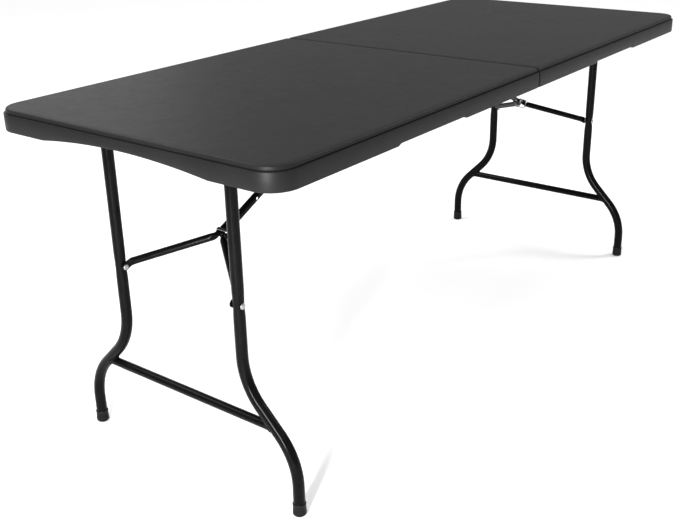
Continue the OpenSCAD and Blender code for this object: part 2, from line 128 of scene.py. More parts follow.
def top_outline(outer, seam):
    """Plan outline of the right half, anticlockwise, inset from its skirt and from the seam.
    Gives (x, y, share of the seam's profile) at each point."""
    x0, x1, hw = seam_x + seam, end_x - outer, half_width - outer
    r = corner_radius - outer
    side = [seam_x + 0.007, seam_x + 0.012] + even_steps(0.02, recess_start - 0.016, 0.02)
    side += even_steps(recess_start - 0.008, recess_start + 0.016, 0.004)
    side += even_steps(recess_start + 0.029, recess_end - 0.027, 0.019)
    side += even_steps(recess_end - 0.016, recess_end + 0.008, 0.004)
    side += even_steps(recess_end + 0.023, end_x - corner_radius, 0.02)
    side = [max(x, x0 + seam_radius + 0.0006 * (i + 1)) for i, x in enumerate(side)]
    end = even_steps(-half_width + corner_radius, -arch_half - 0.017, 0.02)
    end += even_steps(-arch_half - 0.011, -arch_half + 0.007, 0.003)
    end += even_steps(-0.2, 0.2, 0.02)
    end += even_steps(arch_half - 0.007, arch_half + 0.011, 0.003)
    end += even_steps(arch_half + 0.017, half_width - corner_radius, 0.02)
    seam_side = [-half_width + 0.006, -half_width + 0.012]
    seam_side += even_steps(-half_width + 0.02, half_width - 0.02, 0.02)
    seam_side += [half_width - 0.012, half_width - 0.006]
    near = hw - seam_radius - 0.0006
    seam_side = [min(near, max(-near, y)) for y in seam_side]
    arc = [radians(a) for a in even_steps(0, 90, 5)][1:-1]
    cx, cy = x1 - r, hw - r
    sx, sy = x0 + seam_radius, hw - seam_radius
    turn = [(radians(a), a / 90) for a in even_steps(0, 90, 15)]
    points = [(sx - seam_radius * cos(a), -sy - seam_radius * sin(a), 1 - t) for a, t in turn]
    points += [(x, -hw, 0.0) for x in side]
    points += [(cx + r * sin(a), -cy - r * cos(a), 0.0) for a in arc]
    points += [(x1, y, 0.0) for y in end]
    points += [(cx + r * cos(a), cy + r * sin(a), 0.0) for a in arc]
    points += [(x, hw, 0.0) for x in reversed(side)]
    points += [(sx - seam_radius * sin(a), sy + seam_radius * cos(a), t) for a, t in turn]
    points += [(x0, y, 1.0) for y in reversed(seam_side)]
    return points


def mesh_object(name, bm):
    """A new object from a bmesh, smooth but for its crisp edges."""
    bmesh.ops.recalc_face_normals(bm, faces=bm.faces)
    mesh = bpy.data.meshes.new(name)
    bm.to_mesh(mesh)
    bm.free()
    mesh.shade_smooth()
    mesh.set_sharp_from_angle(angle=radians(34))
    obj = bpy.data.objects.new(name, mesh)
    scene.collection.objects.link(obj)
    return obj


def loft(rows, closed_ends=True):
    """A bmesh skinned over rows of points, each row a closed loop of the same length."""
    bm = bmesh.new()
    loops = [[bm.verts.new(p) for p in row] for row in rows]
    for a, b in zip(loops, loops[1:]):
        for i in range(len(a)):
            j = (i + 1) % len(a)
            bm.faces.new((a[i], a[j], b[j], b[i]))
    if closed_ends:
        bm.faces.new(loops[0])
        bm.faces.new(list(reversed(loops[-1])))
    return bm


def half_top(name):
    """The right half of the top, before its notches, groove and cones are cut."""
    rows = []
    for i, (outer, z_outer, seam, z_seam) in enumerate(top_profile):
        row = []
        for x, y, share in top_outline(outer, seam):
            z = z_outer + (z_seam - z_outer) * share
            if i in rim_rows:
                z += rim_lift(x, y)
            row.append((x, y, z))
        rows.append(row)
    return mesh_object(name, loft(rows))


def box_cutter(name, lo, hi, bevel=0.0):
    """A closed box between two corners, with rounded edges, to cut a pocket with."""
    bm = bmesh.new()
    bmesh.ops.create_cube(bm, size=1)
    for v in bm.verts:
        v.co = Vector([lo[k] + (hi[k] - lo[k]) * (v.co[k] + 0.5) for k in range(3)])
    if bevel:
        bmesh.ops.bevel(bm, geom=bm.edges[:], offset=bevel, segments=3, affect="EDGES", profile=0.5)
    return mesh_object(name, bm)


def bake(obj):
    """Turns an object's modifiers into its mesh and takes them off."""
    graph = bpy.context.evaluated_depsgraph_get()
    mesh = bpy.data.meshes.new_from_object(obj.evaluated_get(graph))
    obj.modifiers.clear()
    obj.data = mesh
    return obj


def cut(obj, cutters):
    """Takes the cutters' volumes out of an object and removes them."""
    for cutter in cutters:
        mod = obj.modifiers.new("cut", "BOOLEAN")
        mod.operation = "DIFFERENCE"
        mod.solver = "EXACT"
        mod.object = cutter
    bake(obj)
    for cutter in cutters:
        bpy.data.objects.remove(cutter)
    obj.data.set_sharp_from_angle(angle=radians(34))
    return obj


def mirrored(obj, name, axis="x"):
    """A copy of an object on the other side of the middle of the table."""
    mesh = obj.data.copy()
    flip = Vector((-1, 1, 1)) if axis == "x" else Vector((1, -1, 1))
    mesh.transform(Matrix.Diagonal((*flip, 1)))
    mesh.flip_normals()
    twin = bpy.data.objects.new(name, mesh)
    scene.collection.objects.link(twin)
    return twin


def node_group(name, sockets):
    """An empty geometry tree with its named inputs. Gives the tree, its input and output nodes."""
    tree = bpy.data.node_groups.new(name, "GeometryNodeTree")
    tree.interface.new_socket("Geometry", in_out="INPUT", socket_type="NodeSocketGeometry")
    for label, kind, value in sockets:
        socket = tree.interface.new_socket(label, in_out="INPUT", socket_type="NodeSocket" + kind)
        if value is not None:
            socket.default_value = value
    tree.interface.new_socket("Geometry", in_out="OUTPUT", socket_type="NodeSocketGeometry")
    return tree, tree.nodes.new("NodeGroupInput"), tree.nodes.new("NodeGroupOutput")


def run_tree(obj, tree, **values):
    """Puts a geometry tree on an object with these input values, and bakes the result."""
    mod = obj.modifiers.new(tree.name, "NODES")
    mod.node_group = tree
    for item in tree.interface.items_tree:
        key = item.name.lower().replace(" ", "_")
        if item.in_out == "INPUT" and key in values:
            mod[item.identifier] = values[key]
    return bake(obj)


def moulded_black(name, tone, grain, roughness, bump, gloss):
    """Satin black moulded plastic: fine pebbled grain, faint clouding, scuffs in the gloss."""
    mat = bpy.data.materials.new(name)
    mat.use_nodes = True
    nt = mat.node_tree
    shader = nt.nodes["Principled BSDF"]
    shader.inputs["Specular IOR Level"].default_value = gloss
    place = nt.nodes.new("ShaderNodeTexCoord")
    cloud = nt.nodes.new("ShaderNodeTexNoise")
    cloud.inputs["Scale"].default_value = 7
    cloud.inputs["Detail"].default_value = 6
    shade = nt.nodes.new("ShaderNodeValToRGB")
    shade.color_ramp.elements[0].position = 0.3
    shade.color_ramp.elements[0].color = (*[c * 0.86 for c in tone], 1)
    shade.color_ramp.elements[1].position = 0.75
    shade.color_ramp.elements[1].color = (*[c * 1.16 for c in tone], 1)
    pebble = nt.nodes.new("ShaderNodeTexNoise")
    pebble.inputs["Scale"].default_value = grain
    pebble.inputs["Detail"].default_value = 3
    pebble.inputs["Roughness"].default_value = 0.6
    scuff = nt.nodes.new("ShaderNodeTexNoise")
    scuff.inputs["Scale"].default_value = 32
    scuff.inputs["Detail"].default_value = 9
    scuff.inputs["Distortion"].default_value = 1.4
    dull = nt.nodes.new("ShaderNodeMapRange")
    dull.inputs["From Min"].default_value = 0.35
    dull.inputs["From Max"].default_value = 0.75
    dull.inputs["To Min"].default_value = roughness - 0.015
    dull.inputs["To Max"].default_value = roughness + 0.025
    relief = nt.nodes.new("ShaderNodeBump")
    relief.inputs["Strength"].default_value = bump
    relief.inputs["Distance"].default_value = 0.0004
    for node in (cloud, pebble, scuff):
        nt.links.new(place.outputs["Object"], node.inputs["Vector"])
    nt.links.new(cloud.outputs["Fac"], shade.inputs["Fac"])
    nt.links.new(shade.outputs["Color"], shader.inputs["Base Color"])
    nt.links.new(scuff.outputs["Fac"], dull.inputs["Value"])
    nt.links.new(dull.outputs["Result"], shader.inputs["Roughness"])
    nt.links.new(pebble.outputs["Fac"], relief.inputs["Height"])
    nt.links.new(relief.outputs["Normal"], shader.inputs["Normal"])
    return mat


top_plastic = moulded_black("moulded_top_black", (0.0066, 0.0064, 0.0065), 900, 0.45, 0.2, 0.12)

# The pinch cones: a grid of them, cut up into the deck from below.
cones, group_in, group_out = node_group("pinch_cones", [
    ("Centre", "Vector", None), ("Length", "Float", 0.7), ("Width", "Float", 0.5),
    ("Rows Along", "Int", 12), ("Rows Across", "Int", 8), ("Mouth Radius", "Float", 0.011),
    ("Floor Radius", "Float", 0.006), ("Depth", "Float", 0.006), ("Material", "Material", None)])
grid = cones.nodes.new("GeometryNodeMeshGrid")
cone = cones.nodes.new("GeometryNodeMeshCone")
cone.inputs["Vertices"].default_value = 20
place = cones.nodes.new("GeometryNodeInstanceOnPoints")
shift = cones.nodes.new("GeometryNodeTransform")
real = cones.nodes.new("GeometryNodeRealizeInstances")
carve = cones.nodes.new("GeometryNodeMeshBoolean")
carve.operation = "DIFFERENCE"
carve.solver = "EXACT"
finish = cones.nodes.new("GeometryNodeSetMaterial")
link = cones.links.new
link(group_in.outputs["Length"], grid.inputs["Size X"])
link(group_in.outputs["Width"], grid.inputs["Size Y"])
link(group_in.outputs["Rows Along"], grid.inputs["Vertices X"])
link(group_in.outputs["Rows Across"], grid.inputs["Vertices Y"])
link(grid.outputs["Mesh"], shift.inputs["Geometry"])
link(group_in.outputs["Centre"], shift.inputs["Translation"])
link(shift.outputs["Geometry"], place.inputs["Points"])
link(group_in.outputs["Mouth Radius"], cone.inputs["Radius Bottom"])
link(group_in.outputs["Floor Radius"], cone.inputs["Radius Top"])
link(group_in.outputs["Depth"], cone.inputs["Depth"])
link(cone.outputs["Mesh"], place.inputs["Instance"])
link(place.outputs["Instances"], real.inputs["Geometry"])
link(group_in.outputs["Geometry"], carve.inputs["Mesh 1"])
link(real.outputs["Geometry"], carve.inputs["Mesh 2"])
link(carve.outputs["Mesh"], finish.inputs["Geometry"])
link(group_in.outputs["Material"], finish.inputs["Material"])
link(finish.outputs["Geometry"], group_out.inputs["Geometry"])

joints = {j["name"]: j for j in frame["joints"]}
link_pin = Vector(joints["brace_link_turn_right"]["pos_m"])
# Each link folds up into a groove in the deck, and each middle hinge sits in a notch at the seam.
groove_start, groove_end, groove_half = link_pin.x - 0.034, link_pin.x + 0.606, 0.022
groove_top = top_z - 0.0055
hinge_y, notch_half, notch_reach = 0.348, 0.012, 0.016


def finish_half(obj, body, node):
    """Cuts what both halves share, pulls in the cones, and puts the half on its body."""
    s = 1 if node.endswith("right") else -1
    notch_lo, notch_hi = sorted((s * -0.001, s * notch_reach))
    groove_lo, groove_hi = sorted((s * groove_start, s * groove_end))
    cutters = [box_cutter("notch", (notch_lo, side * hinge_y - notch_half, rim_z - 0.01),
                          (notch_hi, side * hinge_y + notch_half, deck_z + 0.001), 0.001)
               for side in (-1, 1)]
    cutters.append(box_cutter("groove", (groove_lo, -groove_half, deck_z - 0.02),
                              (groove_hi, groove_half, groove_top), 0.004))
    cut(obj, cutters)
    run_tree(obj, cones, centre=(s * 0.452, 0, deck_z), length=0.744, width=0.54,
             rows_along=13, rows_across=10, mouth_radius=0.0105, floor_radius=0.006,
             depth=0.009, material=top_plastic)
    obj.data.set_sharp_from_angle(angle=radians(34))
    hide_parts(node)
    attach(obj, body)


right_top = half_top("top_right")
left_top = mirrored(right_top, "top_left")
handle_lo, handle_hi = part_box("handle")
pocket_gap, pocket_depth = 0.003, 0.009
cut(left_top, [box_cutter(
    "pocket", (handle_lo.x - pocket_gap, half_width - pocket_depth, rim_z + 0.008),
    (handle_hi.x + pocket_gap, half_width + 0.01, rim_z + 0.032), 0.002)])
finish_half(right_top, "half_right", "panel_right")
finish_half(left_top, "half_left", "panel_left")

# ---------------------------------------------------------------------------------------------
# Leg frames. Each is a wishbone of black powder-coated steel tube: a top tube that turns in
# bearing plates under the deck, two S-bent uprights and a lower crossbar, coped and welded.
# ---------------------------------------------------------------------------------------------
upright_lo, upright_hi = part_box("upright_back_right")
tube_lo, tube_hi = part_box("top_tube_right")
foot_lo, foot_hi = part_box("foot_back_right")
bar_lo, bar_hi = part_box("crossbar_right")
rivets_lo, rivets_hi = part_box("leg_rivets_right")
leg_x = (upright_lo.x + upright_hi.x) / 2
pivot_z = (tube_lo.z + tube_hi.z) / 2
tube_radius = (upright_hi.x - upright_lo.x) / 2
upright_y = upright_lo.y + tube_radius
foot_y = (foot_lo.y + foot_hi.y) / 2
bar_z = (bar_lo.z + bar_hi.z) / 2
bar_radius = (bar_hi.z - bar_lo.z) / 2
rivet_z = (rivets_lo.z + rivets_hi.z) / 2
bend_start, bend_radius, bend_angle = 0.310, 0.142, radians(45)
arc_y = bend_radius * (1 - cos(bend_angle))
arc_z = bend_radius * sin(bend_angle)
slant = (foot_y - upright_y - 2 * arc_y) / sin(bend_angle)
slant_top = Vector((leg_x, upright_y + arc_y, bend_start - arc_z))
slant_way = Vector((0, sin(bend_angle), -cos(bend_angle)))
foot_bend_z = slant_top.z - slant * cos(bend_angle) - arc_z


def upright_path():
    """Centreline of the back upright, from inside the top tube down to inside the foot cap."""
    line = [Vector((leg_x, upright_y, z)) for z in even_steps(pivot_z - 0.004, bend_start, 0.012)]
    for a in even_steps(0, bend_angle, radians(3))[1:]:
        line.append(Vector((leg_x, upright_y + bend_radius * (1 - cos(a)),
                            bend_start - bend_radius * sin(a))))
    line += [slant_top + slant_way * d for d in even_steps(0, slant, 0.01)[1:]]
    for a in even_steps(bend_angle, 0, radians(3))[1:]:
        line.append(Vector((leg_x, foot_y - bend_radius * (1 - cos(a)),
                            foot_bend_z + bend_radius * sin(a))))
    in_cap = foot_lo.z + 0.006
    line += [Vector((leg_x, foot_y, z)) for z in even_steps(foot_bend_z, in_cap, 0.01)[1:]]
    return line


def path_object(name, points, closed=False):
    """A bare line of edges through points, for a geometry tree to follow."""
    mesh = bpy.data.meshes.new(name)
    edges = [(i, i + 1) for i in range(len(points) - 1)]
    if closed:
        edges.append((len(points) - 1, 0))
    mesh.from_pydata([tuple(p) for p in points], edges, [])
    obj = bpy.data.objects.new(name, mesh)
    scene.collection.objects.link(obj)
    return obj


# Round tube along a line.
tubing, group_in, group_out = node_group("tube_along_line", [
    ("Radius", "Float", 0.012), ("Sides", "Int", 40), ("Material", "Material", None)])
to_curve = tubing.nodes.new("GeometryNodeMeshToCurve")
ring = tubing.nodes.new("GeometryNodeCurvePrimitiveCircle")
skin = tubing.nodes.new("GeometryNodeCurveToMesh")
skin.inputs["Fill Caps"].default_value = True
finish = tubing.nodes.new("GeometryNodeSetMaterial")
real = tubing.nodes.new("GeometryNodeRealizeInstances")
link = tubing.links.new
link(group_in.outputs["Geometry"], to_curve.inputs["Mesh"])
link(to_curve.outputs["Curve"], skin.inputs["Curve"])
link(group_in.outputs["Sides"], ring.inputs["Resolution"])
link(group_in.outputs["Radius"], ring.inputs["Radius"])
link(ring.outputs["Curve"], skin.inputs["Profile Curve"])
link(skin.outputs["Mesh"], real.inputs["Geometry"])
link(real.outputs["Geometry"], finish.inputs["Geometry"])
link(group_in.outputs["Material"], finish.inputs["Material"])
link(finish.outputs["Geometry"], group_out.inputs["Geometry"])

# Weld bead: overlapping blobs of filler along a line.
welding, group_in, group_out = node_group("weld_bead", [
    ("Pitch", "Float", 0.0016), ("Blob Radius", "Float", 0.0021), ("Seed", "Int", 3),
    ("Material", "Material", None)])
to_curve = welding.nodes.new("GeometryNodeMeshToCurve")
spaced = welding.nodes.new("GeometryNodeCurveToPoints")
spaced.mode = "LENGTH"
blob = welding.nodes.new("GeometryNodeMeshUVSphere")
blob.inputs["Segments"].default_value = 10
blob.inputs["Rings"].default_value = 6
vary = welding.nodes.new("FunctionNodeRandomValue")
vary.data_type = "FLOAT"
vary.inputs[2].default_value = 0.82
vary.inputs[3].default_value = 1.15
place = welding.nodes.new("GeometryNodeInstanceOnPoints")
real = welding.nodes.new("GeometryNodeRealizeInstances")
soft = welding.nodes.new("GeometryNodeSetShadeSmooth")
finish = welding.nodes.new("GeometryNodeSetMaterial")
link = welding.links.new
link(group_in.outputs["Geometry"], to_curve.inputs["Mesh"])
link(to_curve.outputs["Curve"], spaced.inputs["Curve"])
link(group_in.outputs["Pitch"], spaced.inputs["Length"])
link(spaced.outputs["Points"], place.inputs["Points"])
link(group_in.outputs["Blob Radius"], blob.inputs["Radius"])
link(blob.outputs["Mesh"], place.inputs["Instance"])
link(group_in.outputs["Seed"], vary.inputs["Seed"])
link(vary.outputs[1], place.inputs["Scale"])
link(place.outputs["Instances"], real.inputs["Geometry"])
link(real.outputs["Geometry"], soft.inputs["Geometry"])
link(soft.outputs["Geometry"], finish.inputs["Geometry"])
link(group_in.outputs["Material"], finish.inputs["Material"])
link(finish.outputs["Geometry"], group_out.inputs["Geometry"])


def powder_coat(name, tone, roughness, peel):
    """Black powder coat on steel: a glossy skin with a fine orange peel and rubbed patches."""
    mat = bpy.data.materials.new(name)
    mat.use_nodes = True
    nt = mat.node_tree
    shader = nt.nodes["Principled BSDF"]
    shader.inputs["Specular IOR Level"].default_value = 0.06
    place = nt.nodes.new("ShaderNodeTexCoord")
    peel_noise = nt.nodes.new("ShaderNodeTexNoise")
    peel_noise.inputs["Scale"].default_value = 420
    peel_noise.inputs["Detail"].default_value = 2
    rub = nt.nodes.new("ShaderNodeTexNoise")
    rub.inputs["Scale"].default_value = 26
    rub.inputs["Detail"].default_value = 8
    rub.inputs["Distortion"].default_value = 0.8
    shade = nt.nodes.new("ShaderNodeValToRGB")
    shade.color_ramp.elements[0].position = 0.35
    shade.color_ramp.elements[0].color = (*[c * 0.8 for c in tone], 1)
    shade.color_ramp.elements[1].position = 0.8
    shade.color_ramp.elements[1].color = (*[c * 1.5 for c in tone], 1)
    dull = nt.nodes.new("ShaderNodeMapRange")
    dull.inputs["From Min"].default_value = 0.4
    dull.inputs["From Max"].default_value = 0.8
    dull.inputs["To Min"].default_value = roughness
    dull.inputs["To Max"].default_value = roughness + 0.12
    relief = nt.nodes.new("ShaderNodeBump")
    relief.inputs["Strength"].default_value = peel
    relief.inputs["Distance"].default_value = 0.0003
    for node in (peel_noise, rub):
        nt.links.new(place.outputs["Object"], node.inputs["Vector"])
    nt.links.new(rub.outputs["Fac"], shade.inputs["Fac"])
    nt.links.new(shade.outputs["Color"], shader.inputs["Base Color"])
    nt.links.new(rub.outputs["Fac"], dull.inputs["Value"])
    nt.links.new(dull.outputs["Result"], shader.inputs["Roughness"])
    nt.links.new(peel_noise.outputs["Fac"], relief.inputs["Height"])
    nt.links.new(relief.outputs["Normal"], shader.inputs["Normal"])
    return mat


gloss_coat = powder_coat("gloss_black_powder_coat", (0.0022, 0.0021, 0.0021), 0.15, 0.05)


def add_piece(obj, body, slot_name, *stands_for):
    """Hides the CAD nodes a finished piece stands for and puts the piece on its body. The slot name
    is not used.
    """
    if stands_for:
        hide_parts(*stands_for)
    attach(obj, body)


def mirror_to(obj, side, face, name):
    """The piece itself at back right, or its twin at any of the other three corners."""
    twin = obj
    if side == "left":
        twin = mirrored(twin, name, "x")
    if face == "front":
        other = mirrored(twin, name, "y")
        if twin is not obj:
            bpy.data.objects.remove(twin)
        twin = other
    twin.name = name
    return twin


def flatten_at_rivet(obj):
    """Presses the upright's walls in a little where the brace rivet goes through."""
    press_length, press_in, narrowing = 0.016, 0.17, 0.02
    for v in obj.data.vertices:
        pinch = exp(-((v.co.z - rivet_z) / press_length) ** 2)
        v.co.y = upright_y + (v.co.y - upright_y) * (1 - press_in * pinch)
        v.co.x = leg_x + (v.co.x - leg_x) * (1 - narrowing * pinch)


def cope_ring(radius, main_radius, place_of):
    """Closed line where a tube of one radius meets the side of a larger one, point by point."""
    line = []
    for a in even_steps(0, 2 * pi, radians(7))[:-1]:
        across = radius * cos(a)
        reach = sqrt(max(main_radius ** 2 - across ** 2, 0))
        line.append(place_of(across, radius * sin(a), reach))
    return line


def top_weld_point(across, out, reach):
    return Vector((leg_x + across, upright_y + out, pivot_z - reach))


# Where the crossbar's line crosses the slanted stretch of the upright.
bar_meets_y = slant_top.y + (slant_top.z - bar_z)


def bar_weld_point(across, up, reach):
    """On the crossbar's side, where it runs into the slanted stretch of the upright."""
    away = (reach + up * cos(bend_angle)) / sin(bend_angle)
    return Vector((leg_x + across, bar_meets_y - away, bar_z + up))


upright = path_object("upright_back_right_tube", upright_path())
run_tree(upright, tubing, radius=tube_radius, sides=44, material=gloss_coat)
upright.data.shade_smooth()
flatten_at_rivet(upright)
top_ring = cope_ring(tube_radius - 0.0002, tube_radius, top_weld_point)
top_weld = path_object("top_weld", top_ring, closed=True)
run_tree(top_weld, welding, pitch=0.0018, blob_radius=0.0021, seed=5, material=gloss_coat)
bar_ring = cope_ring(bar_radius, tube_radius, bar_weld_point)
bar_weld = path_object("bar_weld", bar_ring, closed=True)
run_tree(bar_weld, welding, pitch=0.0017, blob_radius=0.0022, seed=8, material=gloss_coat)

crossbar = path_object("crossbar_right_tube", [
    Vector((leg_x, y, bar_z)) for y in even_steps(-bar_meets_y + 0.006, bar_meets_y - 0.006, 0.02)])
run_tree(crossbar, tubing, radius=bar_radius, sides=36, material=gloss_coat)
crossbar.data.shade_smooth()


def turned(name, profile, sides=48):
    """A closed piece turned about +Z from (radius, height) points, first and last on the axis."""
    rows = []
    bm = bmesh.new()
    low = bm.verts.new((0, 0, profile[0][1]))
    high = bm.verts.new((0, 0, profile[-1][1]))
    for r, z in profile[1:-1]:
        rows.append([bm.verts.new((r * cos(2 * pi * i / sides), r * sin(2 * pi * i / sides), z))
                     for i in range(sides)])
    for i in range(sides):
        j = (i + 1) % sides
        bm.faces.new((low, rows[0][j], rows[0][i]))
        bm.faces.new((high, rows[-1][i], rows[-1][j]))
        for a, b in zip(rows, rows[1:]):
            bm.faces.new((a[i], a[j], b[j], b[i]))
    return mesh_object(name, bm)


def moved(obj, matrix):
    obj.data.transform(matrix)
    obj.data.update()
    return obj


# The top tube: a straight tube swaged down at both ends to turn in its bearing plates.
neck_radius = 0.008
tube_end = tube_hi.y
shoulder = tube_end - 0.0205
top_tube = turned("top_tube_right_tube", [
    (0, -tube_end), (neck_radius - 0.001, -tube_end), (neck_radius, -tube_end + 0.001),
    (neck_radius, -shoulder - 0.0045), (neck_radius + 0.0006, -shoulder - 0.0035),
    (tube_radius - 0.0010, -shoulder - 0.0012), (tube_radius, -shoulder + 0.001),
    (tube_radius, shoulder - 0.001), (tube_radius - 0.0010, shoulder + 0.0012),
    (neck_radius + 0.0006, shoulder + 0.0035), (neck_radius, shoulder + 0.0045),
    (neck_radius, tube_end - 0.001), (neck_radius - 0.001, tube_end), (0, tube_end)])
moved(top_tube, Matrix.Translation((leg_x, 0, pivot_z)) @ Matrix.Rotation(-pi / 2, 4, "X"))
top_tube.data.materials.append(gloss_coat)

for side in ("left", "right"):
    body = "leg_" + side
    for face in ("front", "back"):
        twin = mirror_to(upright, side, face, "upright_%s_%s_tube" % (face, side))
        if twin is not upright:
            add_piece(twin, body, "gloss_black_steel", "upright_%s_%s" % (face, side))
        for weld, label in ((top_weld, "top_weld"), (bar_weld, "bar_weld")):
            twin = mirror_to(weld, side, face, "%s_%s_%s" % (label, face, side))
            if twin is not weld:
                add_piece(twin, body, "gloss_black_steel")
    for piece, node in ((top_tube, "top_tube_"), (crossbar, "crossbar_")):
        twin = mirror_to(piece, side, "back", node + side + "_tube")
        if twin is not piece:
            add_piece(twin, body, "gloss_black_steel", node + side)
add_piece(upright, "leg_right", "gloss_black_steel", "upright_back_right")
add_piece(top_weld, "leg_right", "gloss_black_steel")
add_piece(bar_weld, "leg_right", "gloss_black_steel")
add_piece(top_tube, "leg_right", "gloss_black_steel", "top_tube_right")
add_piece(crossbar, "leg_right", "gloss_black_steel", "crossbar_right")

# ---------------------------------------------------------------------------------------------
# Foot caps. Soft black plastic cups pushed on to the ends of the uprights, with a rolled lip,
# two grip bands and a rounded tread.
# ---------------------------------------------------------------------------------------------
cap_plastic = moulded_black("foot_cap_black", (0.006, 0.006, 0.006), 700, 0.4, 0.15, 0.1)
cap_radius = (foot_hi.x - foot_lo.x) / 2
cap_height = foot_hi.z - foot_lo.z
foot_cap = turned("foot_cap_back_right", [
    (0, 0), (cap_radius - 0.0042, 0), (cap_radius - 0.0016, 0.0006), (cap_radius - 0.0003, 0.0022),
    (cap_radius, 0.0042), (cap_radius - 0.0002, 0.0080), (cap_radius - 0.0009, 0.0086),
    (cap_radius - 0.0009, 0.0098), (cap_radius - 0.0002, 0.0104), (cap_radius - 0.0004, 0.0138),
    (cap_radius - 0.0011, 0.0144), (cap_radius - 0.0011, 0.0156), (cap_radius - 0.0005, 0.0162),
    (cap_radius - 0.0008, cap_height - 0.0042), (cap_radius - 0.0003, cap_height - 0.0034),
    (cap_radius - 0.0003, cap_height - 0.0012), (cap_radius - 0.0009, cap_height - 0.0002),
    (tube_radius + 0.0006, cap_height), (tube_radius - 0.0004, cap_height - 0.0006),
    (tube_radius - 0.0006, 0.008), (0, 0.008)], 56)
moved(foot_cap, Matrix.Translation((leg_x, foot_y, foot_lo.z)))
foot_cap.data.materials.append(cap_plastic)
for side in ("left", "right"):
    for face in ("front", "back"):
        cap = mirror_to(foot_cap, side, face, "foot_cap_%s_%s" % (face, side))
        if cap is not foot_cap:
            add_piece(cap, "leg_" + side, "cap_plastic", "foot_%s_%s" % (face, side))
add_piece(foot_cap, "leg_right", "cap_plastic", "foot_back_right")

# ---------------------------------------------------------------------------------------------
# Braces. A pressed channel link runs from a bracket under the deck to an apex rivet, and two
# tube arms with flattened ends run from there to the uprights. All are gloss black steel.
# ---------------------------------------------------------------------------------------------
apex = Vector(joints["brace_knee_right"]["pos_m"])
way_down = (apex - link_pin).normalized()
brace_turn = atan2(-way_down.z, way_down.x)
link_length = (apex - link_pin).length
arm_length = hypot(leg_x - apex.x, apex.z - rivet_z)
link_width, link_height, link_wall = 0.016, 0.010, 0.0015
link_tail = 0.040


def brace_frame(origin):
    """From the brace's own frame, with x down the brace, to the table's."""
    return Matrix.Translation(origin) @ Matrix.Rotation(brace_turn, 4, "Y")


def channel_section():
    """Section of the link, open side down: (across, up) points with rounded outer corners."""
    w, h, t, r = link_width / 2, link_height / 2, link_wall, 0.0028
    section = [(-w, -h)]
    for a in even_steps(pi, pi / 2, radians(15)):
        section.append((-w + r + r * cos(a), h - r + r * sin(a)))
    for a in even_steps(pi / 2, 0, radians(15)):
        section.append((w - r + r * cos(a), h - r + r * sin(a)))
    section += [(w, -h), (w - t, -h)]
    inner = r - t
    for a in even_steps(0, pi / 2, radians(30)):
        section.append((w - t - inner + inner * cos(a), h - t - inner + inner * sin(a)))
    for a in even_steps(pi / 2, pi, radians(30)):
        section.append((-w + t + inner + inner * cos(a), h - t - inner + inner * sin(a)))
    section.append((-w + t, -h))
    return section


def rod_cutter(name, point, axis, radius, length):
    """A round bar centred on a point, to drill a hole with."""
    bm = bmesh.new()
    bmesh.ops.create_cone(bm, cap_ends=True, segments=28, radius1=radius, radius2=radius,
                          depth=length)
    turn = Vector((0, 0, 1)).rotation_difference(Vector(axis)).to_matrix().to_4x4()
    bmesh.ops.transform(bm, matrix=Matrix.Translation(point) @ turn, verts=bm.verts)
    return mesh_object(name, bm)


link_overlap, hole_at, drain_at = 0.007, link_length - 0.078, 0.110
channel = mesh_object("brace_link_channel_right", loft([
    [(x, across, up) for across, up in channel_section()]
    for x in even_steps(-link_overlap, link_length + link_tail, 0.05)]))
cut(channel, [rod_cutter("hole", (hole_at, 0, -0.0005), (0, 1, 0), 0.0031, 0.03),
              rod_cutter("drain", (drain_at, 0, 0.004), (0, 0, 1), 0.003, 0.01)])
channel.data.materials.append(gloss_coat)
moved(channel, brace_frame(link_pin))

tab_in = link_width / 2 + 0.0005
tab_thick = 0.003
tab_out = upright_y - tube_radius - 0.001 - tab_thick
arm_radius = 0.008


def rounded_bends(corners, radius):
    """A line through corners, with each inner corner replaced by a short smooth bend."""
    line = [corners[0]]
    for before, corner, after in zip(corners, corners[1:], corners[2:]):
        start = corner + (before - corner).normalized() * radius
        stop = corner + (after - corner).normalized() * radius
        for t in even_steps(0, 1, 0.125):
            line.append(start * (1 - t) ** 2 + corner * 2 * t * (1 - t) + stop * t * t)
    return line + [corners[-1]]


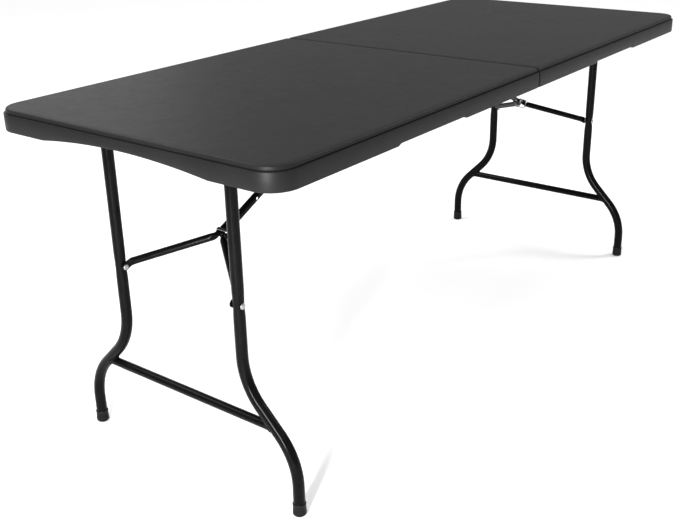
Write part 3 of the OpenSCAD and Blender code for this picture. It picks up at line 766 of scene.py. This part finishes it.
def arm_mesh(name):
    """The back arm: round in the middle, pressed flat at both ends, in the brace's frame."""
    near, far = tab_in + tab_thick / 2, tab_out + tab_thick / 2
    near_flat, far_flat, near_tall, far_tall = 0.044, 0.020, 0.0070, 0.0088
    corners = [Vector((-near_tall, near)), Vector((near_flat, near)),
               Vector((arm_length - 0.016, far)), Vector((arm_length + far_tall, far))]
    line = rounded_bends(corners, 0.008)
    dense = []
    for a, b in zip(line, line[1:]):
        n = max(1, round((b - a).length / 0.0025))
        dense += [a.lerp(b, i / n) for i in range(n)]
    dense.append(line[-1])
    lengths = [0.0]
    for a, b in zip(dense, dense[1:]):
        lengths.append(lengths[-1] + (b - a).length)
    total = lengths[-1]
    rows = []
    for i, (point, s) in enumerate(zip(dense, lengths)):
        ahead = dense[min(i + 1, len(dense) - 1)] - dense[max(i - 1, 0)]
        normal = Vector((-ahead.y, ahead.x)).normalized()
        round_share = smooth((s - near_flat) / 0.020) * smooth((total - far_flat - s) / 0.016)
        tall = near_tall if s < total / 2 else far_tall
        end = min(s, total - s)
        tip = sqrt(max(tall ** 2 - max(tall - end, 0) ** 2, 1e-8)) / tall
        half_tall = (tall + (arm_radius - tall) * round_share) * max(tip, 0.08)
        half_thick = tab_thick / 2 + (arm_radius - tab_thick / 2) * round_share
        power = 2 / (5 - 3 * round_share)
        row = []
        for k in range(32):
            a = 2 * pi * k / 32
            c, d = cos(a), sin(a)
            out = half_thick * abs(c) ** power * (1 if c >= 0 else -1)
            up = half_tall * abs(d) ** power * (1 if d >= 0 else -1)
            flat = point + normal * out
            row.append((flat.x, flat.y, up))
        rows.append(row)
    return mesh_object(name, loft(rows))


arm = arm_mesh("brace_arm_back_right")
arm.data.materials.append(gloss_coat)
moved(arm, brace_frame(apex))

for side in ("left", "right"):
    twin = mirror_to(channel, side, "back", "brace_link_channel_" + side)
    if twin is not channel:
        add_piece(twin, "brace_link_" + side, "gloss_black_steel", "link_" + side)
    for face in ("front", "back"):
        twin = mirror_to(arm, side, face, "brace_arm_%s_%s" % (face, side))
        if twin is not arm:
            add_piece(twin, "brace_arms_" + side, "gloss_black_steel", "arm_%s_%s" % (face, side))
add_piece(channel, "brace_link_right", "gloss_black_steel", "link_right")
add_piece(arm, "brace_arms_right", "gloss_black_steel", "arm_back_right")

# ---------------------------------------------------------------------------------------------
# Lock rings. Flat strip steel bent into a rounded loop and chrome plated; one slides on each
# link and drops over the joint to keep the brace straight.
# ---------------------------------------------------------------------------------------------
def plated(name, tone, roughness, brush):
    """Bright plated steel with fine wear lines and faint clouding in the plating."""
    mat = bpy.data.materials.new(name)
    mat.use_nodes = True
    nt = mat.node_tree
    shader = nt.nodes["Principled BSDF"]
    shader.inputs["Metallic"].default_value = 1
    place = nt.nodes.new("ShaderNodeTexCoord")
    stretch = nt.nodes.new("ShaderNodeMapping")
    stretch.inputs["Scale"].default_value = (900, 90, 900)
    lines = nt.nodes.new("ShaderNodeTexNoise")
    lines.inputs["Scale"].default_value = 1
    cloud = nt.nodes.new("ShaderNodeTexNoise")
    cloud.inputs["Scale"].default_value = 160
    cloud.inputs["Detail"].default_value = 5
    shade = nt.nodes.new("ShaderNodeValToRGB")
    shade.color_ramp.elements[0].position = 0.3
    shade.color_ramp.elements[0].color = (*[c * 0.78 for c in tone], 1)
    shade.color_ramp.elements[1].position = 0.7
    shade.color_ramp.elements[1].color = (*tone, 1)
    dull = nt.nodes.new("ShaderNodeMapRange")
    dull.inputs["To Min"].default_value = roughness
    dull.inputs["To Max"].default_value = roughness + 0.18
    relief = nt.nodes.new("ShaderNodeBump")
    relief.inputs["Strength"].default_value = brush
    relief.inputs["Distance"].default_value = 0.0002
    nt.links.new(place.outputs["Object"], stretch.inputs["Vector"])
    nt.links.new(stretch.outputs["Vector"], lines.inputs["Vector"])
    nt.links.new(place.outputs["Object"], cloud.inputs["Vector"])
    nt.links.new(cloud.outputs["Fac"], shade.inputs["Fac"])
    nt.links.new(shade.outputs["Color"], shader.inputs["Base Color"])
    nt.links.new(cloud.outputs["Fac"], dull.inputs["Value"])
    nt.links.new(dull.outputs["Result"], shader.inputs["Roughness"])
    nt.links.new(lines.outputs["Fac"], relief.inputs["Height"])
    nt.links.new(relief.outputs["Normal"], shader.inputs["Normal"])
    return mat


chrome = plated("bright_chrome", (0.78, 0.78, 0.79), 0.08, 0.03)
zinc = plated("zinc_plate", (0.40, 0.40, 0.41), 0.28, 0.1)

ring_at = 0.031


def lock_loop(name):
    """Strip bent into a rounded loop round the link and both tabs, with eased edges."""
    half_w, low, high, radius = 0.0165, -0.0155, 0.010, 0.0052
    thick, half_strip, ease = 0.0026, 0.004, 0.0007
    edge = [(half_strip - ease, 0), (half_strip, ease), (half_strip, thick - ease),
            (half_strip - ease, thick)]
    section = edge + [(-x, depth) for x, depth in reversed(edge)]
    rows = []
    for x, depth in section:
        row = []
        for quarter, (sy, z) in enumerate(((1, high), (-1, high), (-1, low), (1, low))):
            cy = sy * (half_w - radius)
            cz = z - radius if z == high else z + radius
            for a in even_steps(quarter * pi / 2, (quarter + 1) * pi / 2, radians(15)):
                reach = radius - depth
                row.append((ring_at + x, cy + reach * cos(a), cz + reach * sin(a)))
        rows.append(row)
    bm = loft(rows + [rows[0]], closed_ends=False)
    bmesh.ops.remove_doubles(bm, verts=bm.verts, dist=1e-6)
    return mesh_object(name, bm)


lock = lock_loop("lock_loop_right")
lock.data.materials.append(chrome)
moved(lock, brace_frame(apex))
twin = mirrored(lock, "lock_loop_left")
add_piece(twin, "lock_ring_left", "chrome_steel", "lock_ring_left")
add_piece(lock, "lock_ring_right", "chrome_steel", "lock_ring_right")

# ---------------------------------------------------------------------------------------------
# Rivets and screws. Zinc-plated steel: domed rivets through the brace joints, pan-head screws
# with a cross recess that hold the rails and brackets up to the deck.
# ---------------------------------------------------------------------------------------------
fastening, group_in, group_out = node_group("fasteners", [
    ("Fastener", "Object", None), ("Material", "Material", None)])
source = fastening.nodes.new("GeometryNodeObjectInfo")
facing = fastening.nodes.new("GeometryNodeInputNamedAttribute")
facing.data_type = "FLOAT_VECTOR"
facing.inputs["Name"].default_value = "facing"
aim = fastening.nodes.new("FunctionNodeAlignRotationToVector")
aim.axis = "Z"
place = fastening.nodes.new("GeometryNodeInstanceOnPoints")
real = fastening.nodes.new("GeometryNodeRealizeInstances")
finish = fastening.nodes.new("GeometryNodeSetMaterial")
link = fastening.links.new
link(group_in.outputs["Fastener"], source.inputs["Object"])
link(group_in.outputs["Geometry"], place.inputs["Points"])
link(source.outputs["Geometry"], place.inputs["Instance"])
link(facing.outputs["Attribute"], aim.inputs["Vector"])
link(aim.outputs["Rotation"], place.inputs["Rotation"])
link(place.outputs["Instances"], real.inputs["Geometry"])
link(real.outputs["Geometry"], finish.inputs["Geometry"])
link(group_in.outputs["Material"], finish.inputs["Material"])
link(finish.outputs["Geometry"], group_out.inputs["Geometry"])


def fasteners(name, template, places, material):
    """One mesh of like fasteners: each place is its seat and the way its head faces."""
    mesh = bpy.data.meshes.new(name)
    mesh.from_pydata([tuple(p) for p, way in places], [], [])
    mesh.attributes.new("facing", "FLOAT_VECTOR", "POINT")
    mesh.attributes["facing"].data.foreach_set("vector", [c for p, way in places for c in way])
    obj = bpy.data.objects.new(name, mesh)
    scene.collection.objects.link(obj)
    run_tree(obj, fastening, fastener=template, material=material)
    obj.data.set_sharp_from_angle(angle=radians(40))
    return obj


def domed(name, radius, height, shank, length):
    """Domed rivet head on its shank, seated at z = 0 and facing +Z."""
    rim = height * 0.22
    profile = [(0, -length), (shank, -length), (shank, -0.0001), (radius * 0.96, 0.0),
               (radius, rim)]
    for a in even_steps(radians(12), radians(78), radians(11)):
        profile.append((radius * cos(a), rim + (height - rim) * sin(a)))
    return turned(name, profile + [(0, height)], 28)


rivet_big = domed("rivet_big", 0.0065, 0.0024, 0.0029, 0.012)
rivet_inner = domed("rivet_inner", 0.0062, 0.0022, 0.0028, 0.0028)
rivet_apex = domed("rivet_apex", 0.0055, 0.0014, 0.0029, 0.0115)
pan = domed("pan_head", 0.004, 0.0018, 0.0018, 0.0060)
slot_reach, slot_half, slot_floor, above = 0.0021, 0.00038, 0.0009, 0.004
cut(pan, [
    box_cutter("slot_a", (-slot_reach, -slot_half, slot_floor), (slot_reach, slot_half, above)),
    box_cutter("slot_b", (-slot_half, -slot_reach, slot_floor), (slot_half, slot_reach, above))])

to_front, to_back, down = Vector((0, -1, 0)), Vector((0, 1, 0)), Vector((0, 0, -1))
arm_seat = Vector((leg_x, 0, rivet_z))
# The heads sit on the upright's wall where it is pressed in.
pressed_share = 0.86
outer_seat = upright_y + tube_radius * pressed_share
leg_rivets = fasteners("arm_rivet_heads_right", rivet_big, [
    (arm_seat + to_back * outer_seat, to_back), (arm_seat + to_front * outer_seat, to_front)], zinc)
arm_heads = fasteners("arm_rivet_tails_right", rivet_inner, [
    (arm_seat + to_back * tab_out, to_front), (arm_seat + to_front * tab_out, to_back)], zinc)
tab_face = tab_in + tab_thick
apex_rivet = fasteners("apex_rivet_heads_right", rivet_apex, [
    (apex + to_back * tab_face, to_back), (apex + to_front * tab_face, to_front)], zinc)

rail_hi, bracket_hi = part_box("rail_front_right")[1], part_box("link_bracket_right")[1]
screw_y = abs(rail_hi.y) + 0.012
first_screw, screw_pitch, bracket_screw_y, let_in = 0.070, 0.150, 0.033, 0.002
screw_places = [
    (Vector((first_screw + screw_pitch * i, s * screw_y, rail_hi.z - let_in)), down)
    for i in range(6) for s in (-1, 1)]
screw_places += [
    (Vector((link_pin.x, s * bracket_screw_y, bracket_hi.z - let_in)), down) for s in (-1, 1)]
screws = fasteners("rail_screw_heads_right", pan, screw_places, zinc)

for piece, body, node in ((leg_rivets, "leg_", "leg_rivets_"), (arm_heads, "brace_arms_", ""),
                          (apex_rivet, "brace_arms_", "apex_rivet_"),
                          (screws, "half_", "rail_screws_")):
    for side in ("left", "right"):
        twin = piece if side == "right" else mirrored(piece, piece.name.replace("right", "left"))
        add_piece(twin, body + side, "zinc_steel", *([node + side] if node else []))
for template in (rivet_big, rivet_inner, rivet_apex, pan):
    bpy.data.objects.remove(template)

# ---------------------------------------------------------------------------------------------
# Carrying handle. A black plastic bail that hangs flush in its pocket in the back skirt, thick
# and rounded where the fingers go, on two steel pins.
# ---------------------------------------------------------------------------------------------
handle_plastic = moulded_black("handle_black", (0.012, 0.012, 0.012), 1100, 0.45, 0.3, 0.3)
handle = box_cutter("carry_handle_bail", handle_lo, handle_hi)
bail, past = 0.008, 0.01
cut(handle, [box_cutter(
    "finger_gap", (handle_lo.x + bail, handle_lo.y - past, handle_lo.z + bail),
    (handle_hi.x - bail, handle_hi.y + past, handle_hi.z + past))])
round_over = handle.modifiers.new("round_over", "BEVEL")
round_over.width = 0.0016
round_over.segments = 3
round_over.limit_method = "ANGLE"
bake(handle)
handle.data.shade_smooth()
handle.data.set_sharp_from_angle(angle=radians(50))
handle.data.materials.clear()
handle.data.materials.append(handle_plastic)
add_piece(handle, "carry_handle", "handle_plastic", "handle")

# ---------------------------------------------------------------------------------------------
# Rails, bearing plates, hinge leaves, small brackets and the latch are bent sheet steel in satin
# black, and the hinge, handle and latch pins are zinc plated. They keep their CAD shapes.
# ---------------------------------------------------------------------------------------------
satin_coat = powder_coat("satin_black_powder_coat", (0.010, 0.010, 0.0105), 0.34, 0.12)
for name, node in nodes.items():
    if name.startswith(("rail_front", "rail_back", "pivot_brackets", "hinge_leaves",
                        "link_bracket", "latch_keeper")) or name == "latch":
        node.data.materials.clear()
        node.data.materials.append(satin_coat)
    elif name in ("hinge_pins", "handle_pins", "latch_pin"):
        node.data.materials.clear()
        node.data.materials.append(zinc)

# ---------------------------------------------------------------------------------------------
# Studio: a pale floor, a white surround, four soft boxes, a wide soft light overhead and the
# camera.
# ---------------------------------------------------------------------------------------------
floor_mat = bpy.data.materials.new("pale_floor")
floor_mat.use_nodes = True
floor_shader = floor_mat.node_tree.nodes["Principled BSDF"]
floor_shader.inputs["Base Color"].default_value = (0.92, 0.92, 0.92, 1)
floor_shader.inputs["Roughness"].default_value = 0.8
bpy.ops.mesh.primitive_plane_add(size=60, location=(0, 0, -0.0005))
floor = bpy.context.object
floor.name = "floor"
floor.data.materials.append(floor_mat)

world = bpy.data.worlds.new("studio")
scene.world = world
world.use_nodes = True
surround = world.node_tree.nodes["Background"]
surround.inputs["Color"].default_value = (1, 1, 1, 1)
surround.inputs["Strength"].default_value = 0.5


def soft_light(name, place, target, wide, tall, power):
    """An oblong soft light aimed at a point."""
    data = bpy.data.lights.new(name, "AREA")
    data.shape = "RECTANGLE"
    data.size, data.size_y = wide, tall
    data.energy = power
    lamp = bpy.data.objects.new(name, data)
    lamp.location = place
    aim_at = Vector(target) - Vector(place)
    lamp.rotation_euler = aim_at.to_track_quat("-Z", "Y").to_euler()
    lamp.visible_camera = False
    scene.collection.objects.link(lamp)


soft_light("tall_strip", (-2.35, -0.85, 0.85), (-0.88, -0.33, 0.72), 0.2, 1.2, 85)
soft_light("back_box", (1.2, 3.7, 2.1), (-0.5, 0.2, 0.7), 2.2, 1.0, 11)
soft_light("top_box", (-1.3, 2.1, 3.1), (0, 0, 0.7), 1.6, 1.6, 60)
soft_light("right_box", (2.6, -1.9, 2.9), (0, -0.2, 0.4), 0.6, 1.4, 50)
overhead = bpy.data.lights.new("overhead", "SUN")
overhead.energy = 1.75
overhead.angle = radians(80)
overhead_lamp = bpy.data.objects.new("overhead", overhead)
overhead_lamp.location = (0, 0, 4)
scene.collection.objects.link(overhead_lamp)

scene.view_settings.view_transform = "Standard"

camera_data = bpy.data.cameras.new("camera")
camera_data.sensor_width = 36
camera_data.lens = 50.55
camera_data.shift_x = -0.0155
camera_data.shift_y = -0.0221
camera = bpy.data.objects.new("camera", camera_data)
heading, tilt, roll = radians(52.87), radians(-22.225), radians(-1.066)
look = Vector((cos(tilt) * sin(heading), cos(tilt) * cos(heading), sin(tilt)))
level = look.cross(Vector((0, 0, 1))).normalized()
upward = level.cross(look)
right_way = level * cos(roll) + upward * sin(roll)
up_way = upward * cos(roll) - level * sin(roll)
camera_place = Vector((-1.9469, -1.3028, 1.1912))
camera_turn = Matrix((right_way, up_way, -look)).transposed().to_4x4()
camera.matrix_world = Matrix.Translation(camera_place) @ camera_turn
scene.collection.objects.link(camera)
scene.camera = camera
